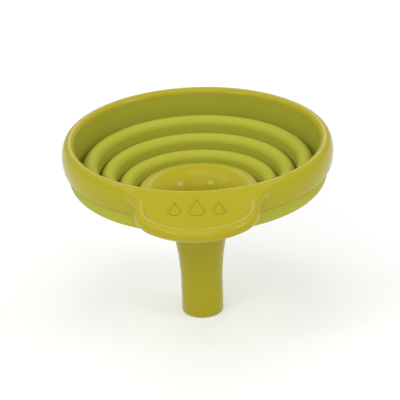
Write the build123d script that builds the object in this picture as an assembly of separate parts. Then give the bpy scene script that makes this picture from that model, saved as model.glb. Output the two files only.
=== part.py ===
from build123d import *
import os
from math import atan2, cos, degrees, radians, sin, sqrt

# Collapsible kitchen funnel, folded. Millimetres, +Z up, origin at the centre of the spout's open tip.
# The thumb tab points along -Y. A rigid collar carries a soft bellows, which carries the rigid spout.

# ---- driving dimensions ----
height = 77.0  # folded, from spout tip to rim top

rim_radius = 54.0  # widest point of the collar
widest_below_top = 5.6
lip_ridge_radius = 51.0  # where the lip is highest
lip_round = 2.2
collar_depth = 10.8
collar_foot_radius = 53.3  # outside of the collar at its lower edge
collar_foot_round = 0.5

bellows_wall = 1.7
skirt_radius = 51.4  # outside of the soft wall, where the collar grips it
skirt_rib_out = 0.8  # retaining rib round the soft wall, in a groove inside the collar
skirt_rib_top_below = 6.2
skirt_rib_height = 1.5
crest_radii = [42.9, 35.9, 29.2, 22.2]  # the last crest is the throat's edge
crests_below_top = [9.3, 14.3, 18.8, 21.65]
crest_folds = [2.25, 2.25, 2.25, 1.05]  # radius of the wall's middle over each crest
valley_radii = [47.4, 39.4, 32.55, 25.1]
valleys_below_top = [18.9, 21.5, 25.0, 28.0]
valley_folds = [2.2, 1.15, 1.05, 1.4]  # and round each valley

spout_radius = 8.45
spout_wall = 1.7
tip_round = 1.1
bell_round = 9.0  # radius of the wall's middle over the throat's rounded edge
bell_turn = 70.0  # degrees that the rounded edge turns down before the long flare takes over
cuff_thickness = 0.8  # soft layer moulded under the throat's edge
cuff_turn = 20.0  # degrees of the rounded edge that it covers

tab_slope = 15.0  # degrees below level
tab_half_width = 21.1  # to the middle of the border bead
tab_length = 24.9  # level distance from lip ridge to the middle of the bead
tab_nose = 15.5  # length of the rounded end
tab_corner = 12.0
tab_thickness = 2.4
bead_radius = 2.5
bead_slope = 6.0  # degrees, so that the bead stands proud at the nose and sinks towards the rim
neck_radius = 28.0  # flare between tab and rim
neck_turn = 50.0

emblem_height = 0.4
emblem_line = 0.8
emblem_spacing = 8.4
emblem_radii = [2.6, 3.3, 2.6]
emblem_point = 2.1  # height of a drop's point over its round end's centre, in radii
emblem_from_ridge = 10.4

# ---- worked out from the above ----
rim_top = height
tab_reach = lip_ridge_radius + tab_length
collar_foot = rim_top - collar_depth
lip_centre = Vector(lip_ridge_radius, rim_top - lip_round)
mouth_radius = lip_ridge_radius - lip_round  # the lip's inside, with the soft wall flush under it
crests = [(r, rim_top - below - bellows_wall / 2) for r, below in zip(crest_radii, crests_below_top)]
valleys = [(r, rim_top - below + bellows_wall / 2) for r, below in zip(valley_radii, valleys_below_top)]


def spun(profile):
    """Solid of revolution about Z of a profile drawn with radius across and height up."""
    return revolve(Plane.XZ * profile, Axis.Z)


def polygon(*corners):
    """Face with straight sides between the given corners."""
    return make_face(Polyline(*corners, close=True))


def save(shape, name):
    """Writes one sub-part and prints its volume."""
    shape.label = name
    export_step(shape, f"parts/{name}.step")
    print(f"{name:18s} {len(shape.solids())} solids  {shape.volume / 1000:8.3f} cm3")


# ---- collar ----
def collar_outside():
    """Outer profile of the collar, from its foot, out to the widest point, and up to the lip's ridge."""
    widest = Vector(rim_radius, rim_top - widest_below_top)
    out = widest.X - lip_centre.X
    up = lip_centre.Y - widest.Y
    bulge = (out**2 + up**2 - lip_round**2) / (2 * (out - lip_round))
    bulge_centre = Vector(widest.X - bulge, widest.Y)
    touch = lip_centre + (lip_centre - bulge_centre).normalized() * lip_round
    foot = Vector(collar_foot_radius, collar_foot)
    lower = TangentArc(widest, foot, tangent=(0, -1))
    upper = TangentArc(widest, touch, tangent=(0, 1))
    lip = TangentArc(touch, lip_centre + Vector(0, lip_round), tangent=upper % 1)
    return lower, upper, lip


def rim_envelope():
    """Everything within the collar's outer surface, used to trim the tab."""
    lower, upper, lip = collar_outside()
    foot = lower @ 1
    closing = Polyline(foot, (0, foot.Y), (0, rim_top), lip @ 1)
    return spun(make_face([lower, upper, lip, *closing.edges()]))


def rim_collar():
    """Rigid collar: a bulging band with a round lip that sits on top of the soft wall."""
    lower, upper, lip = collar_outside()
    inner_lip = JernArc(lip @ 1, (-1, 0), lip_round, 90)
    rib_top = rim_top - skirt_rib_top_below
    rib_foot = rib_top - skirt_rib_height
    groove = skirt_radius + skirt_rib_out
    inside = Polyline(
        inner_lip @ 1,
        (skirt_radius, lip_centre.Y),
        (skirt_radius, rib_top),
        (groove, rib_top),
        (groove, rib_foot),
        (skirt_radius, rib_foot),
        (skirt_radius, collar_foot),
        lower @ 1,
    )
    section = make_face([lower, upper, lip, inner_lip, *inside.edges()])
    outer_foot = section.vertices().sort_by(Axis.Y)[:2].sort_by(Axis.X)[-1]
    return spun(fillet(outer_foot, collar_foot_round))


# ---- bellows ----
def pleat_line(start, end, first_fold, second_fold):
    """Middle of one side of a pleat: level at start and end, heading inward, with a steep slope between."""
    inward = start[0] - end[0]
    climb = abs(end[1] - start[1])
    folds = first_fold + second_fold
    run = sqrt(inward**2 + (climb - folds) ** 2 - folds**2)
    turn = degrees(atan2(climb - folds, inward) + atan2(folds, run))
    way = 1 if end[1] < start[1] else -1
    first = JernArc(start, (-1, 0), first_fold, way * turn)
    slope = Line(first @ 1, (first @ 1) + (first % 1) * run)
    second = JernArc(slope @ 1, slope % 1, second_fold, -way * turn)
    return [first, slope, second]


def bellows_web(index):
    """Thin flexing side of a pleat, from a valley up to the next crest. It flips when the funnel opens."""
    line = pleat_line(valleys[index], crests[index], valley_folds[index], crest_folds[index])
    return spun(trace(line, bellows_wall))


def bellows_ring(index):
    """Stiffer side of a pleat, from a crest down to the next valley. It keeps its shape."""
    line = pleat_line(crests[index], valleys[index + 1], crest_folds[index], valley_folds[index + 1])
    return spun(trace(line, bellows_wall))


def bellows_skirt():
    """Soft outer wall: gripped inside the collar by a rib, and turning in under it to the first valley."""
    top = lip_centre.Y
    floor = rim_top - valleys_below_top[0]
    seam = valley_radii[0]
    outer_corner = JernArc((seam, floor), (1, 0), skirt_radius - seam, 90)
    inner_corner = JernArc((seam, floor + bellows_wall), (1, 0), mouth_radius - seam, 90)
    rib_top = rim_top - skirt_rib_top_below
    rib_foot = rib_top - skirt_rib_height
    rib_edge = skirt_radius + skirt_rib_out
    outside = Polyline(
        outer_corner @ 1,
        (skirt_radius, rib_foot),
        (rib_edge, rib_foot),
        (rib_edge, rib_top),
        (skirt_radius, rib_top),
        (skirt_radius, top),
        (mouth_radius, top),
        inner_corner @ 1,
    )
    seam_line = Line(inner_corner @ 0, outer_corner @ 0)
    return spun(make_face([outer_corner, *outside.edges(), inner_corner, seam_line]))


# ---- throat and spout ----
tube_middle = spout_radius - spout_wall / 2
bell_reach = crest_radii[-1] - tube_middle - bell_round * sin(radians(bell_turn))
bell_flare = bell_reach / (1 - sin(radians(bell_turn)))  # radius that ends upright at the tube
bell_drop = bell_round * (1 - cos(radians(bell_turn))) + bell_flare * cos(radians(bell_turn))
spout_straight = crests[-1][1] - bell_drop


def edge_arc(radius, from_turn, to_turn):
    """Arc round the throat's edge, given in degrees turned down from its top."""
    centre = (crest_radii[-1], crests[-1][1] - bell_round)
    return CenterArc(centre, radius, 90 + from_turn, to_turn - from_turn)


def bellows_cuff():
    """Soft inner edge of the bellows, moulded under the throat's edge."""
    middle = bell_round - (spout_wall - cuff_thickness) / 2
    return spun(trace([edge_arc(middle, 0, cuff_turn)], cuff_thickness))


def throat_bell():
    """Rigid trumpet: a broad rounded edge, thinner over the cuff, then a long flare down to the tube."""
    middle = bell_round + cuff_thickness / 2
    lip = trace([edge_arc(middle, 0, cuff_turn)], spout_wall - cuff_thickness)
    rounding = edge_arc(bell_round, cuff_turn, bell_turn)
    flare = JernArc(rounding @ 1, rounding % 1, bell_flare, 90 - bell_turn)
    return spun(lip + trace([rounding, flare], spout_wall))


def spout_tube():
    """Straight tube that goes into the bottle, with a rounded tip."""
    bore = spout_radius - spout_wall
    section = polygon((bore, 0), (spout_radius, 0), (spout_radius, spout_straight), (bore, spout_straight))
    tip = section.vertices().sort_by(Axis.Y)[:2].sort_by(Axis.X)[-1]
    return spun(fillet(tip, tip_round))


# ---- thumb tab ----
def face_height(radius):
    """Height of the tab's upper face: a shallow cone that touches the lip's round."""
    slope = radians(tab_slope)
    return rim_top - lip_round + (lip_round - (radius - lip_ridge_radius) * sin(slope)) / cos(slope)


def tab_edge():
    """Middle line of the border bead, flat in its own sloping plane: neck, corner, nose, corner, neck."""
    nose_radius = (
        (tab_half_width - tab_corner) ** 2 + tab_nose**2 - tab_corner**2
    ) / (2 * (tab_nose - tab_corner))
    nose_turn = degrees(atan2(tab_half_width - tab_corner, nose_radius - tab_nose))
    nose = JernArc((0, 0), (1, 0), nose_radius, nose_turn)
    corner = JernArc(nose @ 1, nose % 1, tab_corner, 90 - nose_turn)
    neck = JernArc(corner @ 1, corner % 1, neck_radius, -neck_turn)
    right = [nose, corner, neck]
    left = [mirror(edge, Plane.YZ) for edge in right]
    slope = radians(bead_slope)
    nose_point = (0, -tab_reach, face_height(tab_reach))
    bead_plane = Plane(origin=nose_point, x_dir=(1, 0, 0), z_dir=(0, -sin(slope), cos(slope)))
    return Wire([edge for piece in right + left for edge in (bead_plane * piece).edges()])


def tab_band(low, high):
    """Ring between two heights above the tab's face, starting where the face touches the lip's round."""
    inner = lip_ridge_radius + lip_round * sin(radians(tab_slope))
    outer = tab_reach + 2 * bead_radius
    return spun(
        polygon(
            (inner, face_height(inner) + low),
            (outer, face_height(outer) + low),
            (outer, face_height(outer) + high),
            (inner, face_height(inner) + high),
        )
    )


def upright_prism(face):
    """Prism through a plan outline, tall enough to pass through the tab."""
    return extrude(face, tab_length, dir=(0, 0, 1), both=True)


def thumb_tab():
    """D-shaped tab: a sloping plate with a round bead along its edge, flaring into the collar."""
    edge = tab_edge()
    across = Line(edge @ 0, edge @ 1)
    plate = upright_prism(make_face([*edge.edges(), across])) & tab_band(-tab_thickness, 0)
    bead = sweep(Plane(origin=edge @ 0, z_dir=edge % 0) * Circle(bead_radius), path=edge)
    rim = rim_envelope()
    return (plate - rim) + (bead - rim)


def droplet(size):
    """Outline of a falling drop, as a flat band as wide as the emblem's line."""

    def filled(radius):
        tip = Vector(0, emblem_point * radius)
        ball = Circle(radius)
        lean = atan2(sqrt(tip.Y**2 - radius**2), radius)
        touch = Vector(radius * sin(lean), radius * cos(lean))
        return ball + polygon(tip, (touch.X, touch.Y), (-touch.X, touch.Y))

    return filled(size) - filled(size - emblem_line)


def tab_emblem():
    """Three plain raised drops, the middle one larger."""
    middle = -(lip_ridge_radius + emblem_from_ridge)
    above = Plane(origin=(0, 0, rim_top))
    drops = []
    for index, radius in enumerate(emblem_radii):
        outline = above * Pos((index - 1) * emblem_spacing, middle) * droplet(radius)
        drops += (upright_prism(outline) & tab_band(0, emblem_height)).solids()
    return Compound(children=drops)


os.makedirs("parts", exist_ok=True)
save(rim_collar(), "rim_collar")
save(thumb_tab(), "thumb_tab")
save(tab_emblem(), "tab_emblem")
save(bellows_skirt(), "bellows_skirt")
for index in range(len(crest_radii)):
    save(bellows_web(index), f"bellows_web_{index + 1}")
for index in range(len(crest_radii) - 1):
    save(bellows_ring(index), f"bellows_ring_{index + 1}")
save(bellows_cuff(), "bellows_cuff")
save(throat_bell(), "throat_bell")
save(spout_tube(), "spout_tube")
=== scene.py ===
"""Folding kitchen funnel: looks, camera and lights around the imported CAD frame.

Lengths are in metres.
"""

import math

import bmesh
import bpy
import numpy as np
from mathutils import Matrix, Vector


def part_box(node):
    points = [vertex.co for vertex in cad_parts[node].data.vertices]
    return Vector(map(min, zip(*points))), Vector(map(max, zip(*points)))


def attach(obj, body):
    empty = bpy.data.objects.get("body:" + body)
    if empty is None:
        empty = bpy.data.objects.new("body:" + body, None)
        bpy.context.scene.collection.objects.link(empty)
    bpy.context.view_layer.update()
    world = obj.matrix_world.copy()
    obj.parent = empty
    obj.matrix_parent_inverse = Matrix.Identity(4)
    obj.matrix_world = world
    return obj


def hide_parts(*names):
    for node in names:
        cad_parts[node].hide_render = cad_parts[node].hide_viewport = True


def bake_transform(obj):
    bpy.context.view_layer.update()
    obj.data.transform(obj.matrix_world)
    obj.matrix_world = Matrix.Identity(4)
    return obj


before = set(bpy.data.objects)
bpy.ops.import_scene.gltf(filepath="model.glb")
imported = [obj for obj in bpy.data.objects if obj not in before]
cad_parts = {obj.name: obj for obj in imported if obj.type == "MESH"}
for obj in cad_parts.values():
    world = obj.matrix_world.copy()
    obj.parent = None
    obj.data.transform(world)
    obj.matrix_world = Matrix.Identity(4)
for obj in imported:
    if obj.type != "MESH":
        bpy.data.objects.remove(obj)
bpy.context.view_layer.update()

MM = 0.001

# ---- sizes that the frame gives ----
RIM_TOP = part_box("rim_collar")[1].z
RIM_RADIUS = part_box("rim_collar")[1].x
MOUTH = Vector((0, 0, RIM_TOP))  # its middle, from which camera and lights are placed
COLLAR_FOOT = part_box("rim_collar")[0].z
SPOUT_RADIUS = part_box("spout_tube")[1].x
NOSE_REACH = -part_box("thumb_tab")[0].y
CREST_NODES = ["bellows_ring_1", "bellows_ring_2", "bellows_ring_3", "throat_bell"]
CRESTS = [(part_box(node)[1].x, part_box(node)[1].z) for node in CREST_NODES]
WEB_NODES = ["bellows_web_1", "bellows_web_2", "bellows_web_3", "bellows_web_4"]
VALLEYS = [(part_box(node)[1].x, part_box(node)[0].z) for node in WEB_NODES]

# ---- the same sections as the CAD ----
WALL = 1.7 * MM
CREST_FOLDS = [2.25 * MM, 2.25 * MM, 2.25 * MM, 1.05 * MM]
VALLEY_FOLDS = [2.2 * MM, 1.15 * MM, 1.05 * MM, 1.4 * MM]
SKIRT_OUTSIDE = 51.4 * MM
LIP_RIDGE = 51.0 * MM
LIP_ROUND = 2.2 * MM
MOUTH_RADIUS = LIP_RIDGE - LIP_ROUND
SKIRT_LAP = 0.45 * MM  # the soft wall runs up this far over the lip's lower edge
LIP_MIDDLE = RIM_TOP - LIP_ROUND
WIDEST_BELOW_TOP = 5.6 * MM
FOOT_RADIUS = 53.3 * MM
TIP_ROUND = 1.1 * MM
INNER_TIP = 0.25 * MM  # chamfer of the bore at the tip
BELL_ROUND = 9.0 * MM
BELL_TURN = 70.0
CUFF_THICKNESS = 0.8 * MM
CUFF_TURN = 20.0
TAB_SLOPE = math.radians(15)
TAB_HALF_WIDTH = 21.1 * MM
TAB_NOSE = 15.5 * MM
TAB_CORNER = 12.0 * MM
TAB_THICKNESS = 2.4 * MM
BEAD_RADIUS = 2.5 * MM
BEAD_SLOPE = math.radians(6)
NECK_RADIUS = 28.0 * MM
NECK_TURN = 50.0

AROUND = 256  # faces round a turned piece
STEP_DEGREES = 4.0  # average turn between profile points along a fold
TIP_POINTS = 9


# ---------------------------------------------------------------- meshes
def shown(name, data):
    """Object put into the scene."""
    piece = bpy.data.objects.new(name, data)
    bpy.context.scene.collection.objects.link(piece)
    return piece


def new_piece(name, points, faces, sharp_degrees=40.0):
    """Object from points and faces, shaded smooth with its real edges kept sharp."""
    mesh = bpy.data.meshes.new(name)
    mesh.from_pydata([tuple(p) for p in points], [], faces)
    mesh.shade_smooth()
    mesh.set_sharp_from_angle(angle=math.radians(sharp_degrees))
    return shown(name, mesh)


def turned(name, outline):
    """Solid of revolution of a closed outline of (radius, height) points."""
    count = len(outline)
    points = []
    for step in range(AROUND):
        angle = 2 * math.pi * step / AROUND
        points += [(r * math.sin(angle), -r * math.cos(angle), z) for r, z in outline]
    faces = []
    for step in range(AROUND):
        here = step * count
        there = (step + 1) % AROUND * count
        for k in range(count):
            k2 = (k + 1) % count
            faces.append((here + k, here + k2, there + k2, there + k))
    piece = new_piece(name, points, faces)
    work = bmesh.new()
    work.from_mesh(piece.data)
    bmesh.ops.recalc_face_normals(work, faces=work.faces)
    work.to_mesh(piece.data)
    work.free()
    return piece


def walk(start, heading, moves):
    """Points and headings along a profile. A move is (length, 0) or (radius of an arc, degrees).

    Points crowd at an arc's ends, so that pieces which meet there are shaded as one surface.
    """
    r, z = start
    path = [(r, z, heading)]
    for size, turn in moves:
        if turn == 0:
            r += size * math.cos(heading)
            z += size * math.sin(heading)
            path.append((r, z, heading))
            continue
        steps = max(2, math.ceil(abs(turn) / STEP_DEGREES))
        shares = [(1 - math.cos(math.pi * step / steps)) / 2 for step in range(steps + 1)]
        for before, after in zip(shares[:-1], shares[1:]):
            part = math.radians(turn) * (after - before)
            chord = 2 * size * math.sin(abs(part) / 2)
            r += chord * math.cos(heading + part / 2)
            z += chord * math.sin(heading + part / 2)
            heading += part
            path.append((r, z, heading))
    return path


def band(path, thickness):
    """Left and right side of a wall whose middle is the path, as (radius, height) points."""
    half = thickness / 2
    left = [(r - half * math.sin(a), z + half * math.cos(a)) for r, z, a in path]
    right = [(r + half * math.sin(a), z - half * math.cos(a)) for r, z, a in path]
    return left, right


def walled(name, path, thickness=WALL):
    """Turned piece of constant wall."""
    left, right = band(path, thickness)
    return turned(name, left + right[::-1])


# ---------------------------------------------------------------- bellows
INWARD = math.pi  # heading towards the axis


def middle_of(point, side):
    """Middle of the wall at a crest's top (side -1) or a valley's bottom (side +1)."""
    return point[0], point[1] + side * WALL / 2


def pleat_side(start, end, first_fold, second_fold):
    """Moves for one side of a pleat, level at both ends."""
    inward = start[0] - end[0]
    climb = abs(end[1] - start[1])
    folds = first_fold + second_fold
    run = math.sqrt(inward**2 + (climb - folds) ** 2 - folds**2)
    turn = math.degrees(math.atan2(climb - folds, inward) + math.atan2(folds, run))
    way = 1 if end[1] < start[1] else -1
    return [(first_fold, way * turn), (run, 0), (second_fold, -way * turn)]


def bellows_web(index):
    """Flexing side of a pleat. It lies between the body outside it and the body inside it."""
    valley = middle_of(VALLEYS[index], 1)
    crest = middle_of(CRESTS[index], -1)
    moves = pleat_side(valley, crest, VALLEY_FOLDS[index], CREST_FOLDS[index])
    return walled(f"web_{index + 1}", walk(valley, INWARD, moves))


def bellows_ring(index):
    """Stiff side of a pleat, from a crest down to the next valley."""
    crest = middle_of(CRESTS[index], -1)
    valley = middle_of(VALLEYS[index + 1], 1)
    moves = pleat_side(crest, valley, CREST_FOLDS[index], VALLEY_FOLDS[index + 1])
    return walled(f"ring_{index + 1}", walk(crest, INWARD, moves))


def bellows_skirt():
    """Soft outer wall, from under the lip down and in to the first valley."""
    seam, floor = VALLEYS[0]
    top = LIP_MIDDLE + SKIRT_LAP
    outer = walk((seam, floor), 0, [(SKIRT_OUTSIDE - seam, 90)])
    inner = walk((seam, floor + WALL), 0, [(MOUTH_RADIUS - seam, 90)])
    outline = [(r, z) for r, z, _ in outer] + [(SKIRT_OUTSIDE, top), (MOUTH_RADIUS, top)]
    return turned("skirt", outline + [(r, z) for r, z, _ in inner[::-1]])


def edge_layer(depth):
    """Path round the throat's edge, from the last crest, this deep under the wall's middle."""
    r, z = middle_of(CRESTS[-1], -1)
    return walk((r, z - depth), INWARD, [(BELL_ROUND - depth, CUFF_TURN)])


def bellows_cuff():
    """Soft edge of the bellows under the throat's edge."""
    return walled("cuff", edge_layer((WALL - CUFF_THICKNESS) / 2), CUFF_THICKNESS)


def throat_and_spout():
    """Trumpet and straight tube in one, thinner where it lies on the cuff, with the tip rounded."""
    turn_sine = math.sin(math.radians(BELL_TURN))
    reach = CRESTS[-1][0] - (SPOUT_RADIUS - WALL / 2) - BELL_ROUND * turn_sine
    flare = reach / (1 - turn_sine)
    over_cuff = edge_layer(0)
    r, z, heading = over_cuff[-1]
    bell = walk((r, z), heading, [(BELL_ROUND, BELL_TURN - CUFF_TURN), (flare, 90 - BELL_TURN)])
    upper = band(over_cuff, WALL)[1] + band(bell, WALL)[1][1:]
    lip = edge_layer(-CUFF_THICKNESS / 2)
    under = band(lip, WALL - CUFF_THICKNESS)[0] + band(bell, WALL)[0]
    bore = SPOUT_RADIUS - WALL
    tip = [(bore, INNER_TIP), (bore + INNER_TIP, 0)]
    for angle in np.linspace(0, math.pi / 2, TIP_POINTS):
        r = SPOUT_RADIUS - TIP_ROUND * (1 - math.sin(angle))
        tip.append((r, TIP_ROUND * (1 - math.cos(angle))))
    return turned("throat_and_spout", upper + tip + under[::-1])


# ---------------------------------------------------------------- rim with tab, as one smooth solid
NECK_BLEND = 1.4 * MM  # fillet between bead and collar
CREASE_BLEND = 0.6 * MM  # fillet between the plate and both of them
PLATE_EDGE_BLEND = 0.6 * MM  # rounding of the plate's own edge
FOOT_BLEND = 0.8 * MM  # rounding of the collar's lower edge
PLATE_START = 52.2 * MM  # the tab starts inside the collar's wall
PLATE_SUNK = 0.15 * MM  # allowance for the blend, which fills the corner between face and lip
TAB_ZONE_START = 36 * MM  # nothing of the tab is nearer to the axis than this, measured forward
TAB_ZONE_HALF_WIDTH = 40 * MM  # and nothing is further to the side
TAB_CLOSING_POINT = (0, -10 * MM)  # closes the tab's plan outline inside the funnel
VOXEL = 0.45 * MM  # spacing of the smooth solid's points
LIP_POINTS = 12
LIP_SPAN = (-1.9, 0.9)  # radians from upright, over most of the lip's round
PLATE_POINTS = 24
GRADIENT_STEP = 0.02 * MM
LEAST_STEEPNESS = 1e-6
EVENING_ROUNDS = 5
EVENING_SHARE = 0.5  # part of the way that a point moves towards its neighbours' middle
LONGEST_PULL = 0.6 * MM  # furthest that a point moves towards the surface in one round


def face_height(radius):
    """Height of the tab's upper face: a shallow cone that touches the lip's round."""
    drop = LIP_ROUND - (radius - LIP_RIDGE) * math.sin(TAB_SLOPE)
    return RIM_TOP - LIP_ROUND + drop / math.cos(TAB_SLOPE)


def smooth_min(a, b, blend):
    """Union of two distances, with the corner between them filled over the blend length."""
    near = np.maximum(blend - np.abs(a - b), 0) / blend
    return np.minimum(a, b) - near**2 * blend / 4


def smooth_max(a, b, blend):
    """Intersection of two distances with its edge rounded over the blend length."""
    return -smooth_min(-a, -b, blend)


def in_bore(r, z):
    """Signed distance to the collar's bore, where the soft wall sits."""
    return np.maximum(r - SKIRT_OUTSIDE, z - LIP_MIDDLE)


def collar_distance(r, z):
    """Signed distance to the collar's section."""
    widest = RIM_TOP - WIDEST_BELOW_TOP
    out = RIM_RADIUS - LIP_RIDGE
    up = LIP_MIDDLE - widest
    upper = (out**2 + up**2 - LIP_ROUND**2) / (2 * (out - LIP_ROUND))
    inset = RIM_RADIUS - FOOT_RADIUS
    lower = ((widest - COLLAR_FOOT) ** 2 + inset**2) / (2 * inset)
    lip = np.hypot(r - LIP_RIDGE, z - LIP_MIDDLE) - LIP_ROUND
    bulge_up = np.hypot(r - (RIM_RADIUS - upper), z - widest) - upper
    bulge_down = np.hypot(r - (RIM_RADIUS - lower), z - widest) - lower
    bulge = np.where(z > widest, bulge_up, bulge_down)
    lean = math.atan2(up, upper - out)
    above = (z - LIP_MIDDLE) * math.cos(lean) - (r - LIP_RIDGE) * math.sin(lean)
    side = smooth_max(np.maximum(bulge, above), COLLAR_FOOT - z, FOOT_BLEND)
    return np.maximum(np.minimum(lip, np.maximum(side, LIP_RIDGE - r)), -in_bore(r, z))


def tab_edge():
    """Points along the bead's middle in plan, from the left neck round the nose to the right."""
    beside = TAB_HALF_WIDTH - TAB_CORNER
    curve = (beside**2 + TAB_NOSE**2 - TAB_CORNER**2) / (2 * (TAB_NOSE - TAB_CORNER))
    first = math.degrees(math.atan2(beside, curve - TAB_NOSE))
    moves = [(curve, first), (TAB_CORNER, 90 - first), (NECK_RADIUS, -NECK_TURN)]
    half = [(x, y) for x, y, _ in walk((0, BEAD_RADIUS - NOSE_REACH), 0, moves)]
    left = [(-x, y) for x, y in half[:0:-1]]
    return np.array(left + half)


def bead_height(y):
    """Height of the bead's middle: level with the face at the nose, under it at the rim."""
    nose = NOSE_REACH - BEAD_RADIUS
    return face_height(nose) + (y + nose) * math.tan(BEAD_SLOPE)


def distance_to_line(points, line):
    """Shortest distance from each point to a line of straight pieces."""
    best = np.full(len(points), np.inf)
    for a, b in zip(line[:-1], line[1:]):
        along = b - a
        t = np.clip((points - a) @ along / (along @ along), 0, 1)
        best = np.minimum(best, np.linalg.norm(points - a - t[:, None] * along, axis=1))
    return best


def within(points, polygon):
    """Whether each plan point lies inside a closed polygon."""
    x, y = points[:, 0], points[:, 1]
    inside = np.zeros(len(points), bool)
    for (x1, y1), (x2, y2) in zip(polygon, np.roll(polygon, -1, axis=0)):
        if y1 == y2:
            continue
        crosses = (y1 > y) != (y2 > y)
        inside ^= crosses & (x < (x2 - x1) * (y - y1) / (y2 - y1) + x1)
    return inside


def rim_distance(points, edge):
    """Signed distance to collar, tab plate and border bead together."""
    x, y, z = points.T
    r = np.hypot(x, y)
    collar = collar_distance(r, z)
    result = collar.copy()
    near = (y < -TAB_ZONE_START) & (np.abs(x) < TAB_ZONE_HALF_WIDTH)
    p, r = points[near], r[near]
    line = np.column_stack([edge, bead_height(edge[:, 1])])
    bead = distance_to_line(p, line) - BEAD_RADIUS
    plan = distance_to_line(p[:, :2], edge)
    closed = np.vstack([edge, [TAB_CLOSING_POINT]])
    plan = np.where(within(p[:, :2], closed), -plan, plan)
    height = p[:, 2] - face_height(r) + PLATE_SUNK
    slab = np.abs(height + TAB_THICKNESS / 2) - TAB_THICKNESS / 2
    plate = smooth_max(slab, plan, PLATE_EDGE_BLEND)
    plate = np.maximum(plate, PLATE_START - r)
    bead = np.maximum(bead, PLATE_START - r)
    whole = smooth_min(smooth_min(collar[near], bead, NECK_BLEND), plate, CREASE_BLEND)
    whole = np.maximum(whole, p[:, 2] - RIM_TOP)
    result[near] = np.maximum(whole, -in_bore(r, p[:, 2]))
    return result


def tube_along(name, lines, radius, closed):
    """Round tubes along lines of points, as one mesh object."""
    curve = bpy.data.curves.new(name, "CURVE")
    curve.dimensions = "3D"
    curve.bevel_depth = radius
    curve.bevel_resolution = 4
    curve.use_fill_caps = not closed
    for line in lines:
        spline = curve.splines.new("POLY")
        spline.points.add(len(line) - 1)
        spline.use_cyclic_u = closed
        for point, co in zip(spline.points, line):
            point.co = (*co, 1)
    holder = shown(name, curve)
    bpy.context.view_layer.update()
    mesh = bpy.data.meshes.new_from_object(holder)
    bpy.data.objects.remove(holder)
    return shown(name, mesh)


def rough_rim(edge):
    """Overlapping simple solids for collar, bead and plate, as the start of the smooth solid."""
    lip = []
    for angle in np.linspace(*LIP_SPAN, LIP_POINTS):
        r = LIP_RIDGE + LIP_ROUND * math.sin(angle)
        lip.append((r, RIM_TOP - LIP_ROUND * (1 - math.cos(angle))))
    wall = [
        (RIM_RADIUS, RIM_TOP - WIDEST_BELOW_TOP),
        (FOOT_RADIUS, COLLAR_FOOT),
        (SKIRT_OUTSIDE, COLLAR_FOOT),
        (SKIRT_OUTSIDE, LIP_MIDDLE),
    ]
    collar = turned("collar_start", lip + wall)
    middle = [(x, y, bead_height(y)) for x, y in edge]
    bead = tube_along("bead_start", [middle], BEAD_RADIUS, closed=False)
    plan = [(x, y) for x, y in edge if math.hypot(x, y) > PLATE_START]
    half_angle = math.atan2(plan[-1][0], -plan[-1][1])
    for angle in np.linspace(half_angle, -half_angle, PLATE_POINTS):
        plan.append((PLATE_START * math.sin(angle), -PLATE_START * math.cos(angle)))
    top = [(x, y, face_height(-y) - PLATE_SUNK) for x, y in plan]
    under = [(x, y, z - TAB_THICKNESS) for x, y, z in top]
    count = len(plan)
    faces = [tuple(range(count)), tuple(range(2 * count - 1, count - 1, -1))]
    for k in range(count):
        k2 = (k + 1) % count
        faces.append((k2, k, count + k, count + k2))
    return [collar, bead, new_piece("plate_start", top + under, faces)]


def joined(name, pieces):
    """One object from several."""
    work = bmesh.new()
    for piece in pieces:
        work.from_mesh(piece.data)
        bpy.data.objects.remove(piece)
    mesh = bpy.data.meshes.new(name)
    work.to_mesh(mesh)
    work.free()
    return shown(name, mesh)


def remeshed(piece):
    """The piece's voxel remesh as points and faces. The piece itself is removed."""
    modifier = piece.modifiers.new("remesh", "REMESH")
    modifier.mode = "VOXEL"
    modifier.voxel_size = VOXEL
    graph = bpy.context.evaluated_depsgraph_get()
    mesh = bpy.data.meshes.new_from_object(piece.evaluated_get(graph))
    points = np.array([v.co for v in mesh.vertices])
    faces = [tuple(f.vertices) for f in mesh.polygons]
    bpy.data.objects.remove(piece)
    return points, faces


def gradient(points, distance):
    """Unit outward direction of a distance field, and its steepness."""
    slopes = []
    for shift in GRADIENT_STEP * np.eye(3):
        slopes.append((distance(points + shift) - distance(points - shift)) / (2 * GRADIENT_STEP))
    slopes = np.array(slopes).T
    steepness = np.maximum(np.linalg.norm(slopes, axis=1), LEAST_STEEPNESS)
    return slopes / steepness[:, None], steepness


def evened(points, faces, distance):
    """Pulls points onto a distance field's zero level, evening out their spacing on the way."""
    edges = set()
    for face in faces:
        for a, b in zip(face, face[1:] + face[:1]):
            edges.add((min(a, b), max(a, b)))
    edges = np.array(sorted(edges))
    degree = np.bincount(edges.ravel(), minlength=len(points))[:, None]
    for turn in range(EVENING_ROUNDS):
        total = np.zeros_like(points)
        np.add.at(total, edges[:, 0], points[edges[:, 1]])
        np.add.at(total, edges[:, 1], points[edges[:, 0]])
        normal, steepness = gradient(points, distance)
        drift = total / degree - points
        drift -= (drift * normal).sum(1)[:, None] * normal
        if turn < EVENING_ROUNDS - 1:
            points = points + EVENING_SHARE * drift
        depth = np.clip(distance(points) / steepness, -LONGEST_PULL, LONGEST_PULL)
        points = points - depth[:, None] * normal
    normal, steepness = gradient(points, distance)
    return points - (distance(points) / steepness)[:, None] * normal


def rim_with_tab():
    """Collar and thumb tab as the one moulding they are, with soft fillets where they meet."""
    edge = tab_edge()
    points, faces = remeshed(joined("rim_start", rough_rim(edge)))

    def distance(p):
        return rim_distance(p, edge)

    points = evened(points, faces, distance)
    piece = new_piece("rim_with_tab", points, faces, sharp_degrees=180.0)
    normal, _ = gradient(points, distance)
    piece.data.normals_split_custom_set_from_vertices([tuple(n) for n in normal])
    return piece


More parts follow.
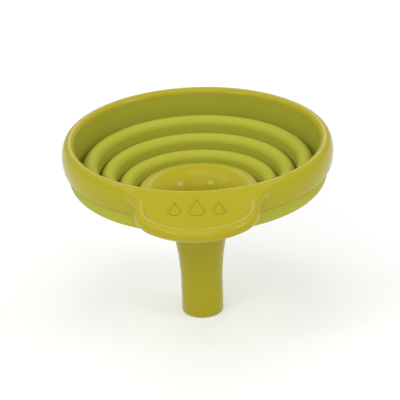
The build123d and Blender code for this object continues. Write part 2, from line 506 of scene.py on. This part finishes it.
# ---------------------------------------------------------------- emblem
EMBLEM_FROM_RIDGE = 10.4 * MM
EMBLEM_SPACING = 8.4 * MM
DROP_SIZES = [(-EMBLEM_SPACING, 2.2 * MM), (0, 2.9 * MM), (EMBLEM_SPACING, 2.2 * MM)]
DROP_LINE = 0.45 * MM  # radius of the round line
DROP_POINT = 2.1  # height of a drop's point over its ball's centre, in radii
DROP_STEPS = 32


def drop_outline(radius):
    """Closed plan outline of a falling drop about its ball's centre."""
    tip = DROP_POINT * radius
    lean = math.acos(radius / tip)
    points = [(0, tip)]
    for step in range(DROP_STEPS + 1):
        angle = lean + (2 * math.pi - 2 * lean) * step / DROP_STEPS
        points.append((radius * math.sin(angle), radius * math.cos(angle)))
    return points


def tab_emblem():
    """Three raised drops, each a round line on the tab's face."""
    lines = []
    for across, radius in DROP_SIZES:
        line = []
        for x, y in drop_outline(radius):
            px, py = across + x, y - LIP_RIDGE - EMBLEM_FROM_RIDGE
            line.append((px, py, face_height(math.hypot(px, py)) - PLATE_SUNK))
        lines.append(line)
    piece = tube_along("emblem", lines, DROP_LINE, closed=True)
    piece.data.shade_smooth()
    return piece


# ---------------------------------------------------------------- materials
DRIFT_SCALE = 45  # colour drifts over about 2 cm
DRIFT_DETAIL = 3
GLOSS_SPREAD = 0.05  # roughness drifts by this much either way
GRAIN_SCALE = 1400  # grain is under a millimetre
GRAIN_DETAIL = 2
GRAIN_DEPTH = 0.05 * MM
FLOOR_GREY = 0.6
FLOOR_ROUGHNESS = 0.9
FLOOR_GLOW = 0.40


def moulded(name, colour, deeper, roughness, specular, grain):
    """Moulded plastic or rubber: slow colour drift, uneven gloss and a fine surface grain."""
    material = bpy.data.materials.new(name)
    material.use_nodes = True
    nodes, links = material.node_tree.nodes, material.node_tree.links
    shader = nodes["Principled BSDF"]
    shader.inputs["Specular IOR Level"].default_value = specular
    coords = nodes.new("ShaderNodeTexCoord")
    drift = nodes.new("ShaderNodeTexNoise")
    drift.inputs["Scale"].default_value = DRIFT_SCALE
    drift.inputs["Detail"].default_value = DRIFT_DETAIL
    tint = nodes.new("ShaderNodeMix")
    tint.data_type = "RGBA"
    tint.inputs["A"].default_value = (*colour, 1)
    tint.inputs["B"].default_value = (*deeper, 1)
    links.new(coords.outputs["Object"], drift.inputs["Vector"])
    links.new(drift.outputs["Fac"], tint.inputs["Factor"])
    links.new(tint.outputs["Result"], shader.inputs["Base Color"])
    gloss = nodes.new("ShaderNodeMapRange")
    gloss.inputs["To Min"].default_value = roughness - GLOSS_SPREAD
    gloss.inputs["To Max"].default_value = roughness + GLOSS_SPREAD
    links.new(drift.outputs["Fac"], gloss.inputs["Value"])
    links.new(gloss.outputs["Result"], shader.inputs["Roughness"])
    fine = nodes.new("ShaderNodeTexNoise")
    fine.inputs["Scale"].default_value = GRAIN_SCALE
    fine.inputs["Detail"].default_value = GRAIN_DETAIL
    bump = nodes.new("ShaderNodeBump")
    bump.inputs["Strength"].default_value = grain
    bump.inputs["Distance"].default_value = GRAIN_DEPTH
    links.new(coords.outputs["Object"], fine.inputs["Vector"])
    links.new(fine.outputs["Fac"], bump.inputs["Height"])
    links.new(bump.outputs["Normal"], shader.inputs["Normal"])
    return material


def pale_floor():
    """Matt pale floor that glows a little, so that it stays nearly white."""
    material = bpy.data.materials.new("pale_floor")
    material.use_nodes = True
    shader = material.node_tree.nodes["Principled BSDF"]
    shader.inputs["Base Color"].default_value = (FLOOR_GREY, FLOOR_GREY, FLOOR_GREY, 1)
    shader.inputs["Roughness"].default_value = FLOOR_ROUGHNESS
    shader.inputs["Specular IOR Level"].default_value = 0
    shader.inputs["Emission Color"].default_value = (1, 1, 1, 1)
    shader.inputs["Emission Strength"].default_value = FLOOR_GLOW
    return material


# ---------------------------------------------------------------- camera and lights
CAMERA_DISTANCE = 1.0
CAMERA_PITCH = math.radians(25.2)
CAMERA_ROLL = math.radians(2.0)
CAMERA_TURN = math.radians(0.9)
VIEW_WIDTH_AT_RIM = 158.6 * MM
LOOK_RIGHT_OF_RIM = 1.2 * MM
LOOK_BELOW_RIM = 25.0 * MM
SENSOR_WIDTH = 36  # millimetres, as the lens length is

LIGHT_DISTANCE = 1.3
WORLD_STRENGTH = 0.49
# name, degrees to the right of the front, degrees up, width, watts
SOFTBOXES = [
    ("front", 0, 40, 0.9, 3.5),
    ("left", -42, 38, 0.3, 3.6),
    ("right", 68, 36, 0.3, 3.1),
    ("left_high", -95, 50, 0.8, 3.1),
    ("right_high", 95, 50, 0.8, 1.8),
    ("back", 180, 28, 0.5, 1.3),
    ("overhead", 0, 88, 0.6, 2.4),
]
FLOOR_HALF_WIDTH = 8


def facing(azimuth, elevation):
    """Axes of a camera or light, from this far to the right of the front and this far up."""
    turn = Matrix.Rotation(azimuth, 3, "Z")
    return turn @ Matrix.Rotation(math.pi / 2 - elevation, 3, "X")


def add_camera():
    """Long lens in front of the tab, looking down into the funnel, rolled a little."""
    data = bpy.data.cameras.new("camera")
    data.sensor_width = SENSOR_WIDTH
    data.lens = SENSOR_WIDTH * CAMERA_DISTANCE / VIEW_WIDTH_AT_RIM
    data.clip_start = 0.05
    data.clip_end = 50
    camera = shown("camera", data)
    axes = facing(CAMERA_TURN, CAMERA_PITCH) @ Matrix.Rotation(-CAMERA_ROLL, 3, "Z")
    right, up, back = axes.col
    away = back * CAMERA_DISTANCE + right * LOOK_RIGHT_OF_RIM - up * LOOK_BELOW_RIM
    camera.matrix_world = Matrix.Translation(MOUTH + away) @ axes.to_4x4()
    bpy.context.scene.camera = camera


def softbox(name, azimuth, elevation, width, watts):
    """Square area light aimed at the funnel's mouth."""
    data = bpy.data.lights.new(name, "AREA")
    data.size = width
    data.energy = watts
    axes = facing(math.radians(azimuth), math.radians(elevation))
    away = axes.col[2] * LIGHT_DISTANCE
    shown(name, data).matrix_world = Matrix.Translation(MOUTH + away) @ axes.to_4x4()


def add_studio():
    """White surroundings, softboxes all round and a pale floor."""
    world = bpy.data.worlds.new("studio")
    world.use_nodes = True
    background = world.node_tree.nodes["Background"]
    background.inputs["Color"].default_value = (1, 1, 1, 1)
    background.inputs["Strength"].default_value = WORLD_STRENGTH
    bpy.context.scene.world = world
    for row in SOFTBOXES:
        softbox(*row)
    mesh = bpy.data.meshes.new("floor")
    half = FLOOR_HALF_WIDTH
    corners = [(-half, -half, 0), (half, -half, 0), (half, half, 0), (-half, half, 0)]
    mesh.from_pydata(corners, [], [(0, 1, 2, 3)])
    mesh.materials.append(pale_floor())
    floor = shown("floor", mesh)
    bpy.context.scene.view_settings.view_transform = "Standard"


# ---------------------------------------------------------------- assembly
def place(piece, material, slot, *nodes):
    """Gives a piece its material and lets it stand for CAD nodes, which it hides. The slot is not
    used.
    """
    piece.data.materials.clear()
    piece.data.materials.append(material)
    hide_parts(*nodes)
    return piece


add_camera()
rigid = moulded(
    "rigid_plastic",
    colour=(0.405, 0.352, 0.013),
    deeper=(0.385, 0.337, 0.011),
    roughness=0.20,
    specular=0.18,
    grain=0.12,
)
soft = moulded(
    "soft_silicone",
    colour=(0.42, 0.418, 0.044),
    deeper=(0.40, 0.402, 0.040),
    roughness=0.50,
    specular=0.06,
    grain=0.3,
)

rim = place(rim_with_tab(), rigid, "rigid_plastic", "rim_collar", "thumb_tab")
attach(rim, "rim")
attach(place(tab_emblem(), rigid, "rigid_plastic", "tab_emblem"), "rim")
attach(place(bellows_skirt(), soft, "soft_silicone", "bellows_skirt"), "rim")

BODIES = ["rim", "ring_1", "ring_2", "ring_3", "spout"]  # from the outside in
for index in range(len(CREST_NODES) - 1):
    ring = place(bellows_ring(index), soft, "soft_silicone", f"bellows_ring_{index + 1}")
    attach(ring, BODIES[index + 1])
for index in range(len(WEB_NODES)):
    web = place(bellows_web(index), soft, "soft_silicone", f"bellows_web_{index + 1}")
    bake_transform(web)
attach(place(bellows_cuff(), soft, "soft_silicone", "bellows_cuff"), "spout")
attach(place(throat_and_spout(), rigid, "rigid_plastic", "throat_bell", "spout_tube"), "spout")

add_studio()
